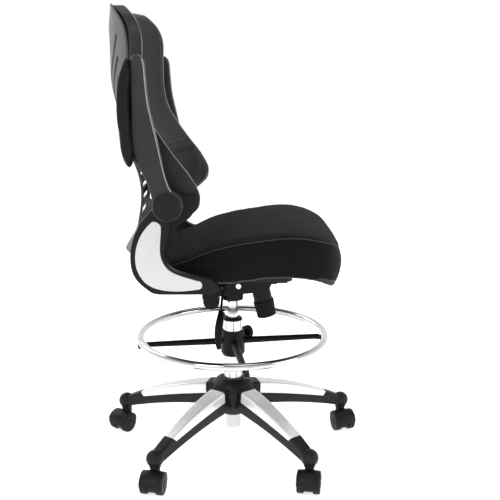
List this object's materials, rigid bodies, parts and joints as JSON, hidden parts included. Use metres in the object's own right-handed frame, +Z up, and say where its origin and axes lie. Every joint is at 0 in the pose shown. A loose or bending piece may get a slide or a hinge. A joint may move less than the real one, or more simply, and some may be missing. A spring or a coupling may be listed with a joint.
{
  "type": "drafting chair",
  "caption": "Drafting chair with mesh back, padded seat, flip-up arms, chrome foot ring on a gas lift and a caster base; swivels, lifts, tilts.",
  "frame": {"origin": "on the floor, on the axis of the gas lift", "axes": "+X the way the sitter faces, +Y the sitter's left, +Z up"},
  "size_m": [0.6788, 0.6988, 1.112],
  "materials": {
    "base_nylon": "fine moulded texture",
    "chrome_cover": "polished",
    "chrome_tube": "polished",
    "chrome_insert": "polished",
    "black_plastic": "fine moulded texture",
    "bearing_steel": "machined",
    "pin_steel": "zinc plated",
    "lever_steel": "black enamel",
    "mech_steel": "black powder coat",
    "screw_steel": "black oxide",
    "seat_board": "moulded",
    "seat_fabric": "woven mesh cloth",
    "bracket_plastic": "satin",
    "shell_plastic": "satin",
    "frame_plastic": "satin",
    "mesh_fabric": "open woven mesh",
    "lumbar_fabric": "knitted cloth",
    "arm_plastic": "satin",
    "arm_pad": "soft moulded pad",
    "caster_nylon": "satin",
    "wheel_nylon": "satin"
  },
  "bodies": {
    "base": {"star_base": "base_nylon", "leg_covers": "chrome_cover", "column_tube": "chrome_tube", "column_bush": "black_plastic", "thrust_bearing": "bearing_steel"},
    "spindle": {"piston_rod": "bearing_steel", "rod_clip": "bearing_steel"},
    "mechanism": {"gas_cylinder": "chrome_tube", "mech_housing": "mech_steel", "tilt_pin": "pin_steel", "tension_spring": "bearing_steel"},
    "release_valve": {"release_pin": "pin_steel"},
    "height_lever": {"lever_rod": "lever_steel", "lever_paddle": "black_plastic"},
    "tension_adjuster": {"tension_knob": "black_plastic", "tension_bolt": "bearing_steel"},
    "seat": {"mech_top_plate": "mech_steel", "seat_pan": "seat_board", "seat_cushion": "seat_fabric", "seat_bolts": "screw_steel", "bracket_left": "bracket_plastic", "bracket_right": "bracket_plastic", "bracket_insert_left": "chrome_insert", "bracket_insert_right": "chrome_insert", "back_screws": "screw_steel", "back_shell": "shell_plastic", "back_frame": "frame_plastic", "back_mesh": "mesh_fabric", "lumbar_pad": "lumbar_fabric", "arm_pivot_pins": "pin_steel", "arm_caps": "bracket_plastic"},
    "armrest_left": {"arm_left": "arm_plastic", "arm_pad_left": "arm_pad"},
    "armrest_right": {"arm_right": "arm_plastic", "arm_pad_right": "arm_pad"},
    "ring_carrier": {"ring_sleeve": "black_plastic"},
    "footrest": {"foot_ring": "chrome_tube", "ring_hub": "black_plastic", "ring_screws": "screw_steel"},
    "ring_clamp": {"ring_clamp_knob": "black_plastic"},
    "caster_1": {"caster_1_hood": "caster_nylon", "caster_1_stem": "pin_steel", "caster_1_axle": "pin_steel"},
    "caster_1_roller": {"caster_1_wheels": "wheel_nylon"},
    "caster_2": {"caster_2_hood": "caster_nylon", "caster_2_stem": "pin_steel", "caster_2_axle": "pin_steel"},
    "caster_2_roller": {"caster_2_wheels": "wheel_nylon"},
    "caster_3": {"caster_3_hood": "caster_nylon", "caster_3_stem": "pin_steel", "caster_3_axle": "pin_steel"},
    "caster_3_roller": {"caster_3_wheels": "wheel_nylon"},
    "caster_4": {"caster_4_hood": "caster_nylon", "caster_4_stem": "pin_steel", "caster_4_axle": "pin_steel"},
    "caster_4_roller": {"caster_4_wheels": "wheel_nylon"},
    "caster_5": {"caster_5_hood": "caster_nylon", "caster_5_stem": "pin_steel", "caster_5_axle": "pin_steel"},
    "caster_5_roller": {"caster_5_wheels": "wheel_nylon"}
  },
  "joints": [
    {"name": "seat_swivel", "type": "hinge", "parent": "base", "child": "spindle", "pos_m": [0, 0, 0.07], "axis": [0, 0, 1], "continuous": true},
    {"name": "height_lift", "type": "slide", "parent": "spindle", "child": "mechanism", "axis": [0, 0, 1], "range_m": [0, 0.2]},
    {"name": "valve_press", "type": "slide", "parent": "mechanism", "child": "release_valve", "axis": [0, 0, -1], "range_m": [0, 0.0035], "stiffness_N_per_m": 200, "springref_m": -0.002},
    {"name": "height_lever_pull", "type": "hinge", "parent": "mechanism", "child": "height_lever", "pos_m": [-0.024, -0.05, 0.437], "axis": [-1, 0, 0], "range_deg": [0, 4], "stiffness_Nm_per_rad": 0.8, "springref_deg": -8.59},
    {"name": "tension_knob_turn", "type": "hinge", "parent": "mechanism", "child": "tension_adjuster", "pos_m": [0.07, 0, 0.43], "axis": [0.225, 0, -0.9744], "range_deg": [-540, 540]},
    {"name": "seat_tilt", "type": "hinge", "parent": "mechanism", "child": "seat", "pos_m": [0.015, 0, 0.446], "axis": [0, -1, 0], "range_deg": [0, 12], "stiffness_Nm_per_rad": 110, "springref_deg": -20.05},
    {"name": "arm_flip_left", "type": "hinge", "parent": "seat", "child": "armrest_left", "pos_m": [-0.1345, 0.3005, 0.69], "axis": [0, 1, 0], "range_deg": [0, 90]},
    {"name": "arm_flip_right", "type": "hinge", "parent": "seat", "child": "armrest_right", "pos_m": [-0.1345, -0.3005, 0.69], "axis": [0, 1, 0], "range_deg": [0, 90]},
    {"name": "ring_height", "type": "slide", "parent": "base", "child": "ring_carrier", "axis": [0, 0, 1], "range_m": [-0.055, 0.025]},
    {"name": "ring_turn", "type": "hinge", "parent": "ring_carrier", "child": "footrest", "pos_m": [0, 0, 0.2825], "axis": [0, 0, 1], "continuous": true},
    {"name": "ring_clamp_turn", "type": "hinge", "parent": "footrest", "child": "ring_clamp", "pos_m": [0.03, 0.02517, 0.298], "axis": [0.766, 0.6428, 0], "range_deg": [0, 720]},
    {"name": "caster_1_swivel", "type": "hinge", "parent": "base", "child": "caster_1", "pos_m": [0.29483, 0.0958, 0.06], "axis": [0, 0, 1], "continuous": true},
    {"name": "caster_1_roll", "type": "hinge", "parent": "caster_1", "child": "caster_1_roller", "pos_m": [0.30039, 0.07868, 0.025], "axis": [0.9511, 0.309, 0], "continuous": true},
    {"name": "caster_2_swivel", "type": "hinge", "parent": "base", "child": "caster_2", "pos_m": [0, 0.31, 0.06], "axis": [0, 0, 1], "continuous": true},
    {"name": "caster_2_roll", "type": "hinge", "parent": "caster_2", "child": "caster_2_roller", "pos_m": [0.01379, 0.32157, 0.025], "axis": [-0.6428, 0.766, 0], "continuous": true},
    {"name": "caster_3_swivel", "type": "hinge", "parent": "base", "child": "caster_3", "pos_m": [-0.29483, 0.0958, 0.06], "axis": [0, 0, 1], "continuous": true},
    {"name": "caster_3_roll", "type": "hinge", "parent": "caster_3", "child": "caster_3_roller", "pos_m": [-0.30566, 0.08142, 0.025], "axis": [0.7986, -0.6018, 0], "continuous": true},
    {"name": "caster_4_swivel", "type": "hinge", "parent": "base", "child": "caster_4", "pos_m": [-0.18221, -0.2508, 0.06], "axis": [0, 0, 1], "continuous": true},
    {"name": "caster_4_roll", "type": "hinge", "parent": "caster_4", "child": "caster_4_roller", "pos_m": [-0.18596, -0.2684, 0.025], "axis": [0.9781, -0.2079, 0], "continuous": true},
    {"name": "caster_5_swivel", "type": "hinge", "parent": "base", "child": "caster_5", "pos_m": [0.18221, -0.2508, 0.06], "axis": [0, 0, 1], "continuous": true},
    {"name": "caster_5_roll", "type": "hinge", "parent": "caster_5", "child": "caster_5_roller", "pos_m": [0.1794, -0.26857, 0.025], "axis": [0.9877, -0.1564, 0], "continuous": true}
  ],
  "couplings": [
    {"joint": "valve_press", "follows": "height_lever_pull", "m_per_rad": 0.05}
  ]
}
